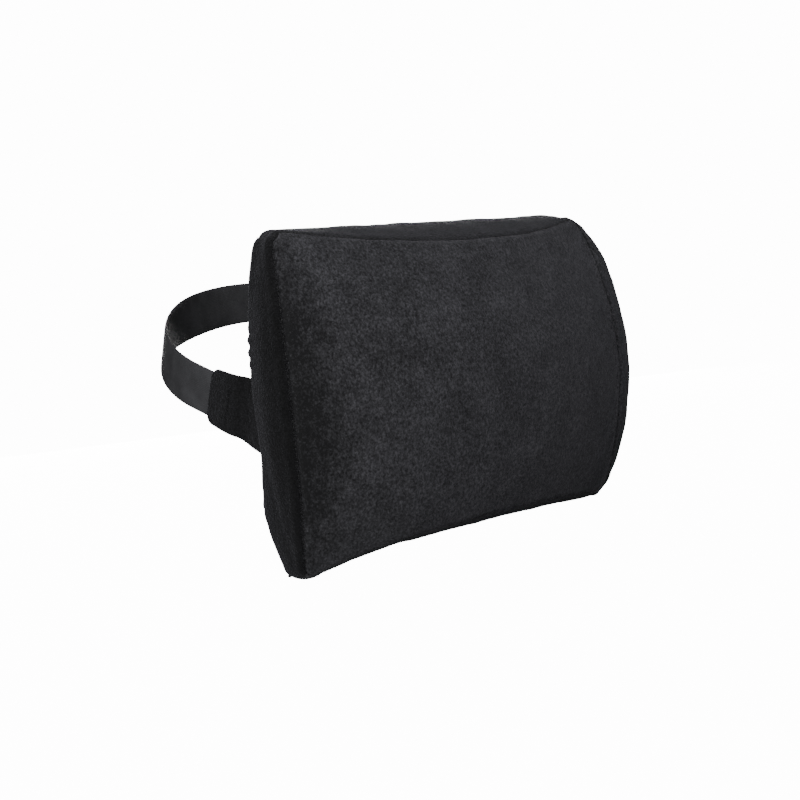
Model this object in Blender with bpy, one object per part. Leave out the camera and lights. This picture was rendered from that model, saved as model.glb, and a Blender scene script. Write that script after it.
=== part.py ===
"""Lumbar support cushion with an elastic strap, for the back of an office chair.

A moulded foam core sits in a zipped, removable cover. The cover is sewn from a crowned front panel,
four edge gussets and a flat back in two halves with a coil zip between them. An elastic strap goes
round the chair's back: it is sewn in at the right back edge, and its free end is held on the inner
side of a plush tab at the left back edge by hook and loop.

Metres. X is the width, the front faces -Y, Z is up. The origin is the centre of the flat back face.
"""
import math

import bmesh
import bpy
import numpy as np

# Cushion
WIDTH = 0.318  # over the bowed ends
HEIGHT = 0.194
DEPTH = 0.064  # at the crown of the front
SEAM_REACH = 0.044  # depth of the top and bottom gussets at mid-width
TOP_CORNER_DEPTH = 0.015
BOTTOM_CORNER_DEPTH = 0.009
END_BOW = 0.015  # how far the ends bow out past their corners
END_PUFF = 0.005  # how far an end gusset bulges between its seams
TOP_SEAM_DROP = 0.016  # how far the front seam lies under the top edge at mid-width
BOTTOM_SEAM_RISE = 0.012
BOTTOM_ARCH = 0.003  # lift of the lower back edge at mid-width
CROWN_POWER = 2.2  # above 2 keeps the crown full towards the ends
GUSSET_ROLL = 1.8  # above 1 keeps a gusset level at the back and rolls it over at the front

# Cover and fits
FABRIC = 0.0016
GAP = 0.0003  # between pieces that touch
FOAM_FIT = 0.0004  # between the cover and the foam

# Zip, across the lower half of the back
ZIP_LENGTH = 0.240
ZIP_RISE = 0.037  # from the cushion's lower edge up to the middle of the zip
ZIP_SLOT = 0.010  # height of the opening between the two back panels
ZIP_END_ROOM = 0.004  # slot past each end of the coils
TAPE_WIDTH = 0.012
TAPE_THICK = 0.0006
COIL_WIDTH = 0.0024
COIL_THICK = 0.0020
POCKET_MARGIN = 0.004  # room round the tapes in the foam
POCKET_DEPTH = 0.0075
STOP_LENGTH = 0.0022

SLIDER_LENGTH = 0.0100
SLIDER_WIDTH = 0.0084
PLATE_THICK = 0.0010
POST_WIDTH = 0.0016
POST_LENGTH = 0.0022
CROWN_WIDTH = 0.0016
CROWN_WINDOW = (0.0026, 0.0018)  # length and height of the hole that the pull hangs in
CROWN_BAR = 0.0008
PULL_LENGTH = 0.0230
PULL_WIDTH = 0.0062
PULL_THICK = 0.0012
PULL_WINDOW = 0.0034

# Strap and tabs: a flat loop, tilted up towards the back
STRAP_WIDTH = 0.0275
STRAP_THICK = 0.0014
STRAP_INSET = 0.0065  # from the cushion's outer end to the middle of the strap's leg
STRAP_LEG = 0.058  # straight part of the loop at either side
STRAP_BEND = 0.133  # depth of the round part of the loop
BEND_POWER = 1.17  # 1 is a half ellipse, and more draws its shoulders in
STRAP_TILT = math.radians(21.8)
STRAP_HEIGHT = -0.006  # of the loop's roots, from the middle of the back
STRAP_FREE_END = 0.0170  # from the back face to the strap's free end
TAB_WIDTH = 0.034
TAB_THICK = 0.0026
TAB_LENGTH = 0.036
TAB_RIGHT_LENGTH = 0.026
ROOT_GAP = 0.0005
HINGE_BEHIND = 0.0020  # the fabric hinges' axes, behind the back face
PATCH_WIDTH = 0.0230
HOOK_THICK = 0.0012
HOOK_SPAN = (0.0175, 0.0345)  # along the tab, from the back face
LOOP_THICK = 0.0010
LOOP_SPAN = (0.0180, 0.0345)
TACK_THICK = 0.0005
TACK_LENGTH = 0.0018
LABEL = (0.030, 0.014, 0.0004)  # width, height and thickness of the care label

# Facets
U_STEPS = 24
W_STEPS = 14
G_STEPS = 4
BEND_STEPS = 30
COIL_SIDES = 10

HALF_HEIGHT = HEIGHT / 2
ZIP_HEIGHT = ZIP_RISE - HALF_HEIGHT
STRAP_HALF_SPAN = WIDTH / 2 - STRAP_INSET
END_HALF = WIDTH / 2 - END_PUFF
CROWN = DEPTH - SEAM_REACH
TAPE_FACE = -(FABRIC + GAP)  # outer face of the zip tapes
TAPE_BACK = TAPE_FACE - TAPE_THICK


def clear_scene():
    for thing in list(bpy.data.objects):
        bpy.data.objects.remove(thing, do_unlink=True)


def material(name, colour, roughness, metallic=0.0):
    made = bpy.data.materials.new(name)
    made.use_nodes = True
    shader = made.node_tree.nodes["Principled BSDF"]
    shader.inputs["Base Color"].default_value = (*colour, 1.0)
    shader.inputs["Roughness"].default_value = roughness
    shader.inputs["Metallic"].default_value = metallic
    made.diffuse_color = (*colour, 1.0)
    return made


def add_mesh(name, mesh, finish, parent=None):
    """Put a mesh in the scene; its points are in the scene's frame, also under a parent."""
    thing = bpy.data.objects.new(name, mesh)
    bpy.context.scene.collection.objects.link(thing)
    mesh.materials.append(finish)
    if parent is not None:
        thing.parent = parent
        thing.location = -parent.location
    return thing


def finish_mesh(name, form, finish, parent=None, smooth=True):
    bmesh.ops.recalc_face_normals(form, faces=form.faces)
    mesh = bpy.data.meshes.new(name)
    form.to_mesh(mesh)
    form.free()
    if smooth:
        mesh.shade_smooth()
        mesh.set_sharp_from_angle(angle=math.radians(35))
    return add_mesh(name, mesh, finish, parent)


def pivot(name, place):
    """An empty on a joint's axis."""
    empty = bpy.data.objects.new(name, None)
    empty.empty_display_size = 0.01
    empty.location = place
    bpy.context.scene.collection.objects.link(empty)
    return empty


# The cushion's form. u runs across and w up, both from -1 to 1; g runs from the back edge of a
# gusset, 0, to its front seam, 1. inset moves every face inwards by that distance.


def end_half(w, inset):
    return END_HALF - END_BOW * w * w - inset


def corner_depth(w):
    return BOTTOM_CORNER_DEPTH + (TOP_CORNER_DEPTH - BOTTOM_CORNER_DEPTH) * (w + 1) / 2


def crown_across(u):
    return 1 - np.abs(u) ** CROWN_POWER


def front_depth(u, w):
    at_end = corner_depth(w)
    return at_end + (SEAM_REACH - at_end) * crown_across(u) + CROWN * (1 - w * w)


def edge_height(u, w, g):
    """Height of the top edge (w = 1) or the bottom edge (w = -1), g of the way to the front seam."""
    roll = np.abs(g) ** GUSSET_ROLL
    if w > 0:
        return HALF_HEIGHT - TOP_SEAM_DROP * crown_across(u) * roll
    lift = BOTTOM_ARCH + (BOTTOM_SEAM_RISE - BOTTOM_ARCH) * roll
    return -HALF_HEIGHT + lift * crown_across(u)


def front_point(u, w, inset):
    top, bottom = edge_height(u, 1, 1) - inset, edge_height(u, -1, 1) + inset
    return (
        u * end_half(w, inset),
        -(front_depth(u, w) - inset),
        (top + bottom) / 2 + w * (top - bottom) / 2,
    )


def edge_point(u, side, g, inset):
    """On the top gusset (side 1) or the bottom gusset (side -1)."""
    back, front = inset, front_depth(u, side) - inset
    return (u * end_half(side, inset), -(back + (front - back) * g), edge_height(u, side, g) - side * inset)


def end_point(w, side, g, inset):
    """On the right gusset (side 1) or the left gusset (side -1)."""
    back, front = inset, front_depth(1, w) - inset
    puff = END_PUFF * 4 * g * (1 - g) * (1 - w * w)
    return (side * (end_half(w, inset) + puff), -(back + (front - back) * g), w * (HALF_HEIGHT - inset))


def back_bottom(u, inset):
    return edge_height(u, -1, 0) + inset


def trimmed(steps, trim):
    """Evenly spaced values from -1 to 1, drawn in at both ends by trim."""
    return np.linspace(trim - 1, 1 - trim, steps + 1)


def grid_shell(name, surface, a_values, b_values, finish):
    """A fabric panel: surface(a, b, inset) at the outer face and one fabric thickness in."""
    form = bmesh.new()
    layers = []
    for inset in (0.0, FABRIC):
        layers.append([[form.verts.new(surface(a, b, inset)) for b in b_values] for a in a_values])
    last_a, last_b = len(a_values) - 1, len(b_values) - 1
    for layer in layers:
        for i in range(last_a):
            for j in range(last_b):
                form.faces.new((layer[i][j], layer[i + 1][j], layer[i + 1][j + 1], layer[i][j + 1]))
    rim = [(i, 0) for i in range(last_a)] + [(last_a, j) for j in range(last_b)]
    rim += [(i, last_b) for i in range(last_a, 0, -1)] + [(0, j) for j in range(last_b, 0, -1)]
    outer, inner = layers
    for (i, j), (k, m) in zip(rim, rim[1:] + rim[:1]):
        form.faces.new((outer[i][j], outer[k][m], inner[k][m], inner[i][j]))
    return finish_mesh(name, form, finish)


def loop_prism(name, outer, inner, finish, parent=None, smooth=False):
    """A closed solid between two loops of as many points, each with its own end face."""
    form = bmesh.new()
    rings = [[form.verts.new(p) for p in loop] for loop in (outer, inner)]
    for ring in rings:
        form.faces.new(ring)
    for i in range(len(outer)):
        k = (i + 1) % len(outer)
        form.faces.new((rings[0][i], rings[0][k], rings[1][k], rings[1][i]))
    return finish_mesh(name, form, finish, parent, smooth)


def slab(name, low, high, finish, parent=None, bevel=0.0):
    """A box between two corners, with its edges rounded off."""
    form = bmesh.new()
    bmesh.ops.create_cube(form, size=1.0)
    for vert in form.verts:
        for axis in range(3):
            vert.co[axis] = (low[axis] + high[axis]) / 2 + vert.co[axis] * (high[axis] - low[axis])
    if bevel:
        bmesh.ops.bevel(
            form,
            geom=form.edges[:],
            offset=bevel,
            segments=2,
            profile=0.5,
            affect="EDGES",
            clamp_overlap=True,
        )
    return finish_mesh(name, form, finish, parent, smooth=bool(bevel))


def cut(target, operation, tools):
    """Boolean the target with each tool; the tools stay as hidden guides."""
    for tool in tools:
        modifier = target.modifiers.new(operation.lower() + "_" + tool.name, "BOOLEAN")
        modifier.operation = operation
        modifier.solver = "EXACT"
        modifier.object = tool
        tool.hide_render = True
        tool.display_type = "WIRE"


# Cover


def make_gussets(finish):
    along = trimmed(U_STEPS, GAP / END_HALF)
    up = trimmed(W_STEPS, GAP / HALF_HEIGHT)
    steps = np.linspace(0, 1, G_STEPS + 1)

    def across(depth):
        """How far along a gusset of that depth its trimmed steps lie."""
        return lambda g: (GAP + (depth - 2 * GAP) * g) / depth

    for name, side in (("cover_gusset_top", 1), ("cover_gusset_bottom", -1)):
        grid_shell(
            name,
            lambda u, g, inset, side=side: edge_point(u, side, across(front_depth(u, side))(g), inset),
            along,
            steps,
            finish,
        )
    for name, side in (("cover_gusset_left", -1), ("cover_gusset_right", 1)):
        grid_shell(
            name,
            lambda w, g, inset, side=side: end_point(w, side, across(front_depth(1, w))(g), inset),
            up,
            steps,
            finish,
        )


def make_front(finish):
    along = trimmed(U_STEPS, GAP / END_HALF)
    up = trimmed(W_STEPS, GAP / HALF_HEIGHT)
    grid_shell("cover_front", front_point, along, up, finish)


def back_outline(side, inset):
    """Outline of the upper (side 1) or lower (side -1) half of the flat back, in order round it."""
    far = side * (HALF_HEIGHT - inset - GAP)
    slot_half = ZIP_LENGTH / 2 + ZIP_END_ROOM
    near = ZIP_HEIGHT + side * GAP / 2
    notch = ZIP_HEIGHT + side * ZIP_SLOT / 2
    rise = np.linspace(near, far, W_STEPS + 1)
    right = [(end_half(z / HALF_HEIGHT, inset) - GAP, z) for z in rise]
    if side < 0:
        width = end_half(-1, inset) - GAP
        along = np.linspace(1, -1, U_STEPS + 1)
        far_edge = [(u * width, back_bottom(u, inset) + GAP) for u in along[1:-1]]
    else:
        far_edge = []
    left = [(-x, z) for x, z in reversed(right)]
    slot = [(-slot_half, near), (-slot_half, notch), (slot_half, notch), (slot_half, near)]
    return [(x, -inset, z) for x, z in right + far_edge + left + slot]


def make_back(finish):
    for name, side in (("cover_back_upper", 1), ("cover_back_lower", -1)):
        loop_prism(name, back_outline(side, 0.0), back_outline(side, FABRIC), finish)


# Foam


def make_foam(finish):
    inset = FABRIC + FOAM_FIT
    u_values, w_values = trimmed(U_STEPS, 0), trimmed(W_STEPS, 0)
    g_values = np.linspace(0, 1, G_STEPS + 1)
    form = bmesh.new()

    def patch(surface, a_values, b_values):
        points = [[form.verts.new(surface(a, b)) for b in b_values] for a in a_values]
        for i in range(len(a_values) - 1):
            for j in range(len(b_values) - 1):
                form.faces.new((points[i][j], points[i + 1][j], points[i + 1][j + 1], points[i][j + 1]))

    def back_point(u, w):
        top, bottom = HALF_HEIGHT - inset, back_bottom(u, inset)
        return (u * end_half(w, inset), -inset, (top + bottom) / 2 + w * (top - bottom) / 2)

    patch(lambda u, w: front_point(u, w, inset), u_values, w_values)
    patch(back_point, u_values, w_values)
    for side in (-1, 1):
        patch(lambda u, g, side=side: edge_point(u, side, g, inset), u_values, g_values)
        patch(lambda w, g, side=side: end_point(w, side, g, inset), w_values, g_values)
    bmesh.ops.remove_doubles(form, verts=form.verts, dist=1e-6)
    foam = finish_mesh("foam_core", form, finish)
    half_length = ZIP_LENGTH / 2 + ZIP_END_ROOM + POCKET_MARGIN
    half_height = max(TAPE_WIDTH, label_drop() + LABEL[1]) + POCKET_MARGIN
    pocket = slab(
        "zip_pocket_cutter",
        (-half_length, -POCKET_DEPTH, ZIP_HEIGHT - half_height),
        (half_length, POCKET_DEPTH, ZIP_HEIGHT + half_height),
        finish,
    )
    cut(foam, "DIFFERENCE", [pocket])


# Zip. The slider rests at the right, where the zip is closed.


def slider_centre():
    return ZIP_LENGTH / 2 - SLIDER_LENGTH / 2 - STOP_LENGTH


def label_drop():
    """From the middle of the zip down to the label, which hangs clear of the slider."""
    return SLIDER_WIDTH / 2 + 2 * GAP


def post_start():
    return slider_centre() + SLIDER_LENGTH / 2 - POST_LENGTH - GAP


def make_tapes(finish):
    half = ZIP_LENGTH / 2 + ZIP_END_ROOM
    parted = POST_WIDTH / 2 + GAP  # half the gap that the slider's post keeps between the tapes
    for name, side in (("zip_tape_upper", 1), ("zip_tape_lower", -1)):
        inner, outer = GAP / 2, TAPE_WIDTH
        outline = [
            (-half, inner),
            (post_start() - GAP, inner),
            (post_start() - GAP, parted),
            (half, parted),
            (half, outer),
            (-half, outer),
        ]
        faces = [[(x, y, ZIP_HEIGHT + side * z) for x, z in outline] for y in (TAPE_FACE, TAPE_BACK)]
        loop_prism(name, *faces, finish)


def make_coils(finish):
    start, end = -ZIP_LENGTH / 2, post_start() - GAP
    middle = TAPE_FACE + GAP + COIL_THICK / 2
    turns = [2 * math.pi * (i + 0.5) / COIL_SIDES for i in range(COIL_SIDES)]
    for name, side in (("zip_coil_upper", 1), ("zip_coil_lower", -1)):
        centre = ZIP_HEIGHT + side * (GAP / 2 + COIL_WIDTH / 2)
        rings = [
            [(x, middle + COIL_THICK / 2 * math.cos(a), centre + COIL_WIDTH / 2 * math.sin(a)) for a in turns]
            for x in (start, end)
        ]
        loop_prism(name, *rings, finish, smooth=True)


def make_stops(finish):
    low, high = TAPE_FACE + GAP, TAPE_FACE + GAP + COIL_THICK
    start = ZIP_LENGTH / 2 + GAP
    for name, side in (("zip_top_stop_upper", 1), ("zip_top_stop_lower", -1)):
        inner = ZIP_HEIGHT + side * (POST_WIDTH / 2 + GAP)
        outer = inner + side * COIL_WIDTH
        slab(
            name,
            (start, low, min(inner, outer)),
            (start + STOP_LENGTH, high, max(inner, outer)),
            finish,
            bevel=0.0004,
        )
    end = -ZIP_LENGTH / 2 - GAP
    half = COIL_WIDTH + GAP
    slab(
        "zip_bottom_stop",
        (end - STOP_LENGTH, low, ZIP_HEIGHT - half),
        (end, high, ZIP_HEIGHT + half),
        finish,
        bevel=0.0004,
    )


def pull_height():
    """Distance of the pull's pivot behind the back face."""
    return TAPE_FACE + GAP + COIL_THICK + GAP + PLATE_THICK + CROWN_WINDOW[1] / 2


def make_slider(finish, carriage):
    x = slider_centre()
    half_length, half_width = SLIDER_LENGTH / 2, SLIDER_WIDTH / 2
    under = TAPE_FACE + GAP + COIL_THICK + GAP  # underside of the outer plate
    over = under + PLATE_THICK
    inner_plate = TAPE_BACK - GAP
    slider = slab(
        "zip_slider",
        (x - half_length, under, ZIP_HEIGHT - half_width),
        (x + half_length, over, ZIP_HEIGHT + half_width),
        finish,
        carriage,
        bevel=0.0003,
    )
    bite = PLATE_THICK / 2  # how deep the pieces of the slider run into each other
    tools = [
        slab(
            "slider_inner_plate",
            (x - half_length, inner_plate - PLATE_THICK, ZIP_HEIGHT - half_width),
            (x + half_length, inner_plate, ZIP_HEIGHT + half_width),
            finish,
            carriage,
            bevel=0.0003,
        ),
        slab(
            "slider_post",
            (post_start() + GAP, inner_plate - bite, ZIP_HEIGHT - POST_WIDTH / 2),
            (post_start() + POST_LENGTH, under + bite, ZIP_HEIGHT + POST_WIDTH / 2),
            finish,
            carriage,
        ),
    ]
    flange = COIL_WIDTH + 2 * GAP  # from the zip's middle to the inner face of a flange
    for side in (-1, 1):
        faces = sorted((ZIP_HEIGHT + side * flange, ZIP_HEIGHT + side * (half_width - bite / 2)))
        tools.append(
            slab(
                "slider_flange_upper" if side > 0 else "slider_flange_lower",
                (x - half_length + bite, TAPE_FACE + GAP, faces[0]),
                (x + half_length - bite, under + bite, faces[1]),
                finish,
                carriage,
            )
        )
    window_length, window_height = CROWN_WINDOW
    crown_half = window_length / 2 + CROWN_BAR
    crown = slab(
        "slider_crown",
        (x - crown_half, over - bite, ZIP_HEIGHT - CROWN_WIDTH / 2),
        (x + crown_half, over + window_height + CROWN_BAR, ZIP_HEIGHT + CROWN_WIDTH / 2),
        finish,
        carriage,
    )
    window = slab(
        "slider_crown_window",
        (x - window_length / 2, over, ZIP_HEIGHT - CROWN_WIDTH),
        (x + window_length / 2, over + window_height, ZIP_HEIGHT + CROWN_WIDTH),
        finish,
        carriage,
    )
    cut(slider, "UNION", tools + [crown])
    cut(slider, "DIFFERENCE", [window])


def make_pull(finish, hinge):
    """A flat pull that lies along the coils, with its cross-bar through the slider's crown."""
    x, y = slider_centre(), pull_height()
    low, high = y - PULL_THICK / 2, y + PULL_THICK / 2
    pull = slab(
        "zip_pull",
        (x + PULL_THICK / 2 - PULL_LENGTH, low, ZIP_HEIGHT - PULL_WIDTH / 2),
        (x + PULL_THICK / 2, high, ZIP_HEIGHT + PULL_WIDTH / 2),
        finish,
        hinge,
    )
    half = CROWN_WIDTH / 2 + GAP
    window = slab(
        "pull_window",
        (x - PULL_THICK / 2 - PULL_WINDOW, y - PULL_THICK, ZIP_HEIGHT - half),
        (x - PULL_THICK / 2, y + PULL_THICK, ZIP_HEIGHT + half),
        finish,
        hinge,
    )
    cut(pull, "DIFFERENCE", [window])


def make_label(finish):
    width, height, thick = LABEL
    face = TAPE_BACK - GAP
    top = ZIP_HEIGHT - label_drop()
    slab("care_label", (-width / 2, face - thick, top - height), (width / 2, face, top), finish)


# Strap and tabs. The loop lies in a plane that leaves the back at STRAP_HEIGHT, tilted up by STRAP_TILT:
# x runs across, reach runs back in that plane, and side runs across the webbing.


def loop_point(x, reach, side):
    return (
        x,
        reach * math.cos(STRAP_TILT) - side * math.sin(STRAP_TILT),
        STRAP_HEIGHT + reach * math.sin(STRAP_TILT) + side * math.cos(STRAP_TILT),
    )


def reach_at(distance, side):
    """The reach of the point at a distance behind the back face, on a line at that side."""
    return (distance + side * math.sin(STRAP_TILT)) / math.cos(STRAP_TILT)


def ribbon(name, route, width, thick, finish, parent, root=None):
    """A flat band along a route of (x, reach) points. root cuts its first end parallel to the back
    face, at that distance from it."""
    route = np.array(route, float)
    tangent = np.gradient(route, axis=0)
    tangent /= np.linalg.norm(tangent, axis=1)[:, None]
    normal = np.stack([-tangent[:, 1], tangent[:, 0]], axis=1)
    form = bmesh.new()
    rings = []
    for i, (place, out) in enumerate(zip(route, normal)):
        ring = []
        for across, side in ((-1, -1), (1, -1), (1, 1), (-1, 1)):
            x, reach = place + out * across * thick / 2
            edge = side * width / 2
            if root is not None and i == 0:
                reach = reach_at(root, edge)
            ring.append(form.verts.new(loop_point(x, reach, edge)))
        rings.append(ring)
    for ring, following in zip(rings, rings[1:]):
        for k in range(4):
            form.faces.new((ring[k], ring[(k + 1) % 4], following[(k + 1) % 4], following[k]))
    form.faces.new(rings[0])
    form.faces.new(rings[-1])
    return finish_mesh(name, form, finish, parent)


def strap_route(start, end):
    """Along the loop from its right leg, start behind the back face, to its left leg, end behind it."""
    route = [(STRAP_HALF_SPAN, start)]
    for i in range(BEND_STEPS + 1):
        turn = math.pi * i / BEND_STEPS
        x = math.copysign(abs(math.cos(turn)) ** BEND_POWER, math.cos(turn))
        route.append((STRAP_HALF_SPAN * x, STRAP_LEG + STRAP_BEND * abs(math.sin(turn)) ** BEND_POWER))
    return route + [(-STRAP_HALF_SPAN, end)]


def stack(*layers):
    """From the middle of the strap to the middle of the last layer lying on its outer face."""
    offset = STRAP_THICK / 2
    for thick in layers[:-1]:
        offset += GAP + thick
    return offset + GAP + layers[-1] / 2


def make_strap(webbing, plush, loop_pile, thread, hinge):
    inside = STRAP_HALF_SPAN
    outside = inside + stack(TAB_THICK)
    bend_start = reach_at(HINGE_BEHIND, TAB_WIDTH / 2)
    bend_end = bend_start + 2 * TAB_THICK
    ribbon(
        "strap_webbing",
        strap_route(bend_end + TAB_THICK / 2, STRAP_FREE_END),
        STRAP_WIDTH,
        STRAP_THICK,
        webbing,
        hinge,
    )
    ribbon(
        "tab_right",
        [(inside, 0.0), (inside, bend_start), (outside, bend_end), (outside, TAB_RIGHT_LENGTH)],
        TAB_WIDTH,
        TAB_THICK,
        plush,
        hinge,
        root=ROOT_GAP,
    )
    patch_x = -inside - stack(LOOP_THICK)
    ribbon(
        "strap_loop_patch",
        [(patch_x, LOOP_SPAN[0]), (patch_x, LOOP_SPAN[1])],
        PATCH_WIDTH,
        LOOP_THICK,
        loop_pile,
        hinge,
    )
    tack_x = outside + TAB_THICK / 2 + GAP + TACK_THICK / 2
    tack_end = TAB_RIGHT_LENGTH - TACK_LENGTH
    ribbon(
        "strap_bar_tack",
        [(tack_x, tack_end - TACK_LENGTH), (tack_x, tack_end)],
        STRAP_WIDTH - 2 * TACK_LENGTH,
        TACK_THICK,
        thread,
        hinge,
    )


def make_tab(plush, hooks, thread, hinge):
    outside = -STRAP_HALF_SPAN - stack(LOOP_THICK, HOOK_THICK, TAB_THICK)
    bend_start = reach_at(HINGE_BEHIND, TAB_WIDTH / 2)
    level = HOOK_SPAN[0] - TAB_THICK / 2  # where the tab has come out to the hook patch
    ribbon(
        "tab_left",
        [
            (-STRAP_HALF_SPAN, 0.0),
            (-STRAP_HALF_SPAN, bend_start),
            (outside, level),
            (outside, TAB_LENGTH),
        ],
        TAB_WIDTH,
        TAB_THICK,
        plush,
        hinge,
        root=ROOT_GAP,
    )
    hook_x = -STRAP_HALF_SPAN - stack(LOOP_THICK, HOOK_THICK)
    ribbon(
        "tab_hook_patch",
        [(hook_x, HOOK_SPAN[0]), (hook_x, HOOK_SPAN[1])],
        PATCH_WIDTH,
        HOOK_THICK,
        hooks,
        hinge,
    )
    tack_x = outside - TAB_THICK / 2 - GAP - TACK_THICK / 2
    ribbon(
        "tab_bar_tack",
        [(tack_x, level + TACK_LENGTH), (tack_x, level + 2 * TACK_LENGTH)],
        PATCH_WIDTH,
        TACK_THICK,
        thread,
        hinge,
    )


def main():
    clear_scene()
    plush = material("plush", (0.030, 0.030, 0.034), 0.95)
    backing = material("back_knit", (0.022, 0.022, 0.024), 0.80)
    foam = material("foam", (0.75, 0.70, 0.55), 0.90)
    tape = material("zip_tape", (0.018, 0.018, 0.020), 0.85)
    nylon = material("zip_nylon", (0.020, 0.020, 0.022), 0.45)
    metal = material("zip_metal", (0.10, 0.10, 0.11), 0.35, 0.9)
    webbing = material("elastic", (0.025, 0.025, 0.027), 0.65)
    hooks = material("hook", (0.020, 0.020, 0.022), 0.60)
    loops = material("loop", (0.022, 0.022, 0.024), 0.95)
    thread = material("thread", (0.020, 0.020, 0.022), 0.70)
    label = material("label", (0.80, 0.80, 0.78), 0.75)

    make_foam(foam)
    make_front(plush)
    make_gussets(plush)
    make_back(backing)
    make_tapes(tape)
    make_coils(nylon)
    make_stops(metal)
    make_label(label)
    carriage = pivot("slider_carriage", (slider_centre(), pull_height(), ZIP_HEIGHT))
    make_slider(metal, carriage)
    make_pull(metal, pivot("pull_hinge", (slider_centre(), pull_height(), ZIP_HEIGHT)))
    strap_hinge = pivot("strap_hinge", (STRAP_HALF_SPAN, HINGE_BEHIND, STRAP_HEIGHT))
    make_strap(webbing, plush, loops, thread, strap_hinge)
    tab_hinge = pivot("tab_hinge", (-STRAP_HALF_SPAN, HINGE_BEHIND, STRAP_HEIGHT))
    make_tab(plush, hooks, thread, tab_hinge)


main()
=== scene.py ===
"""Looks of the lumbar support cushion: a plush cover over foam, a zipped knit back and an elastic strap.

Metres, in the frame of the CAD model: X is the width, the front faces -Y, Z is up, and y = 0 is the back.
"""
import math

import bmesh
import bpy
import numpy as np
from mathutils import Matrix, Vector, kdtree, noise


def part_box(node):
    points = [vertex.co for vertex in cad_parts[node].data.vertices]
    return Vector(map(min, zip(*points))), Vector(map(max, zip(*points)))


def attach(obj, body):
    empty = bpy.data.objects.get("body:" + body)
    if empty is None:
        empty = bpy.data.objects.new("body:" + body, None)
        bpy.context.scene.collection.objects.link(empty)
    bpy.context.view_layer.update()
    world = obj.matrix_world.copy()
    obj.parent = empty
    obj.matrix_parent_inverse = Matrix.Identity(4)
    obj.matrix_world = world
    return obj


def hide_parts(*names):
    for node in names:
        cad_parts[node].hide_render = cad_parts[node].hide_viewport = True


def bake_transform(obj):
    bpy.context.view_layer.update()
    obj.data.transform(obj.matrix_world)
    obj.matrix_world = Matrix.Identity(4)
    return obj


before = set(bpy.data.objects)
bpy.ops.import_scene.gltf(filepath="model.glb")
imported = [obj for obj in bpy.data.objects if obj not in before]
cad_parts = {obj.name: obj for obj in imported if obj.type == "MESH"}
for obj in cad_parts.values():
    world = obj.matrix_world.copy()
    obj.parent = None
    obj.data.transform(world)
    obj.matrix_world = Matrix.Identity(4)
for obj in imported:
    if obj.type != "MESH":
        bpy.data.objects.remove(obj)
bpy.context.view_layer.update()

random = np.random.default_rng(7)

# The cushion's form, as in the CAD model
END_HALF = 0.154
HALF_HEIGHT = 0.097
END_BOW = 0.015
END_PUFF = 0.005
SEAM_REACH = 0.044
CROWN = 0.020
TOP_CORNER_DEPTH = 0.015
BOTTOM_CORNER_DEPTH = 0.009
TOP_SEAM_DROP = 0.016
BOTTOM_SEAM_RISE = 0.0135
BOTTOM_ARCH = 0.0042
CROWN_POWER = 2.2
GUSSET_ROLL = 1.8

# What the cover adds to it
FRONT_CORNERS = (0.012, 0.036, 0.036, 0.005)  # radii: top left, top right, bottom right, bottom left
BACK_CORNERS = (0.011, 0.026, 0.026, 0.004)
SWELL = 0.0008  # how far the filled cover stands outside the CAD form
PUFF_CAP = 0.0050  # the most that the cloth simulation may move a point
SEAM_HALF_WIDTH = 0.0020
SEAM_DEPTHS = {"pile": 0.0005, "low": 0.0001, "end": 0.0018, "wrap": 0.0022, "corner": 0.0004, "back": 0.0014}  # pile hides the front's long seams
EAR = 0.0038  # how far the lower left corner is drawn down
TENT = 0.0105  # how far the loose knit stands out past the ends of the zip
TENT_ABOVE = 0.036
TENT_BELOW = 0.078
TENT_INWARD = 0.030

ZIP_HEIGHT = -0.060
ZIP_SLOT = 0.010
ZIP_HALF = 0.124
TAPE_FACE = -0.0019
COIL_THICK = 0.0020
COIL_WIDTH = 0.0024
TOOTH_PITCH = 0.0012

# Strap and tabs
STRAP_WIDTH = 0.0275
STRAP_THICK = 0.0014
HALF_SPAN = 0.1525
STRAP_LEG = 0.058
STRAP_BEND = 0.133
BEND_POWER = 1.17
STRAP_TILT = math.radians(21.8)
STRAP_HEIGHT = -0.006
STRAP_LEAN = math.radians(20)  # at the back of the loop, its upper edge stands out past its lower edge
TAB_THICK = 0.0026
TAB_LENGTH = 0.036
TAB_RIGHT_LENGTH = 0.026
TAB_RISE = 0.0018  # the left tab sits a little high on the strap

NU, NV, NG = 66, 42, 8  # faces across, up and round the depth of the cushion before subdivision
RIGHT_WRAP = 6  # columns of the front's faces that belong to the right gusset, which comes round the edge
WRAP_MIDDLE = 0.908  # how far across the front the seam of that gusset lies at mid height


# Small helpers


def mesh_object(name, points, faces, materials=(), ids=None, smooth=True):
    mesh = bpy.data.meshes.new(name)
    mesh.from_pydata([tuple(p) for p in points], [], [tuple(int(i) for i in f) for f in faces])
    if ids is not None:
        mesh.polygons.foreach_set("material_index", np.asarray(ids, np.int32))
    for finish in materials:
        mesh.materials.append(finish)
    if smooth:
        mesh.shade_smooth()
    mesh.update()
    thing = bpy.data.objects.new(name, mesh)
    bpy.context.scene.collection.objects.link(thing)
    return thing


def points_of(thing):
    return np.array([v.co for v in thing.data.vertices], float).reshape(-1, 3)


def put_points(thing, points):
    thing.data.vertices.foreach_set("co", np.asarray(points, np.float32).ravel())
    thing.data.update()


def apply_modifiers(thing):
    bpy.context.view_layer.update()
    graph = bpy.context.evaluated_depsgraph_get()
    made = bpy.data.meshes.new_from_object(thing.evaluated_get(graph), depsgraph=graph)
    thing.modifiers.clear()
    thing.data = made
    return thing


def subdivide(thing, levels=1):
    modifier = thing.modifiers.new("subdivide", "SUBSURF")
    modifier.levels = modifier.render_levels = levels
    modifier.boundary_smooth = "PRESERVE_CORNERS"
    return apply_modifiers(thing)


# Materials


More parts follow.
